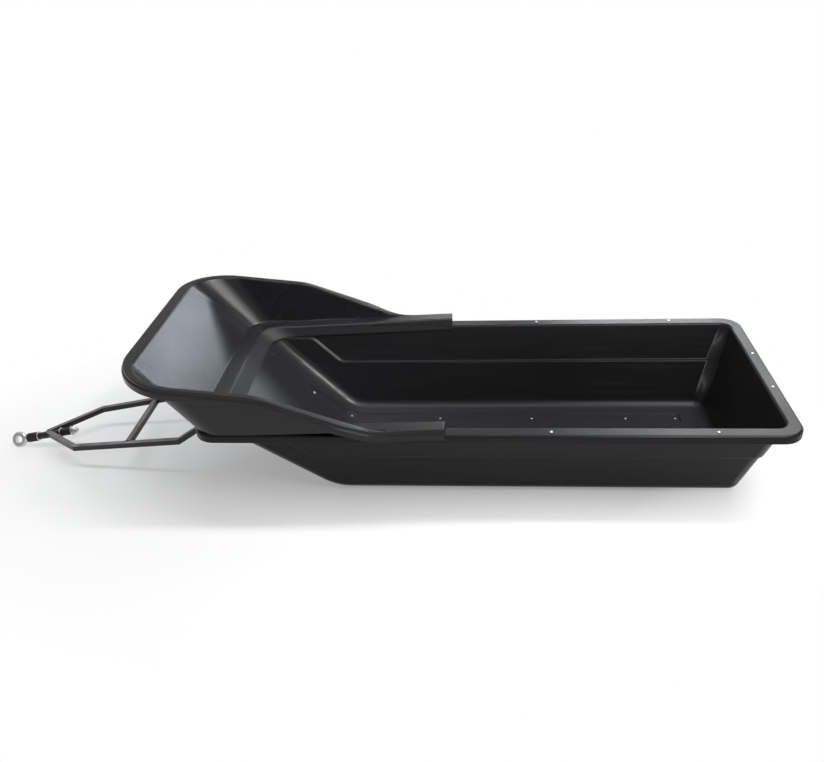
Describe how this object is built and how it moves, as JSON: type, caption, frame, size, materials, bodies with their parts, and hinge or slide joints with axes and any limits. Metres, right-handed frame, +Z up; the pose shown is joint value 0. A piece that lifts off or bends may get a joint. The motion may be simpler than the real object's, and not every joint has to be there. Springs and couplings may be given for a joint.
{
  "type": "towed cargo pulk",
  "caption": "Towed cargo pulk: moulded tub with a ramped front and stepped sides, raised front fender, runner strips and a hinged drawbar with a swivelling tow eye.",
  "frame": {"origin": "middle of the object's footprint on the ground, drawbar included", "axes": "+X forwards to the tow eye, +Y to the left, +Z up"},
  "size_m": [2.927, 0.964, 0.5573],
  "materials": {
    "tub_plastic": "black moulded polyethylene, satin",
    "fender_plastic": "black moulded polyethylene, satin",
    "drawbar_paint": "black powder coat",
    "runner_steel": "galvanised, scuffed",
    "zinc_steel": "bright zinc plate",
    "damper_rubber": "black rubber"
  },
  "bodies": {
    "sled": {"tub": "tub_plastic", "fender": "fender_plastic", "wear_strip_left": "runner_steel", "wear_strip_right": "runner_steel", "hinge_plate": "drawbar_paint", "hinge_pin_left": "zinc_steel", "hinge_pin_right": "zinc_steel"},
    "drawbar": {"drawbar_arm_left": "drawbar_paint", "drawbar_arm_right": "drawbar_paint", "cross_tube": "drawbar_paint", "nose_sleeve": "drawbar_paint"},
    "tow_eye": {"tow_eye": "zinc_steel", "front_damper": "damper_rubber", "rear_damper": "damper_rubber", "rod_washers": "zinc_steel", "rod_nut": "zinc_steel"}
  },
  "joints": [
    {"name": "drawbar_pitch", "type": "hinge", "parent": "sled", "child": "drawbar", "pos_m": [0.4765, 0, 0.288], "axis": [0, -1, 0], "range_deg": [-15, 40]},
    {"name": "eye_swivel", "type": "hinge", "parent": "drawbar", "child": "tow_eye", "pos_m": [1.43217, 0, 0.02945], "axis": [0.9833, 0, -0.1822], "continuous": true}
  ]
}
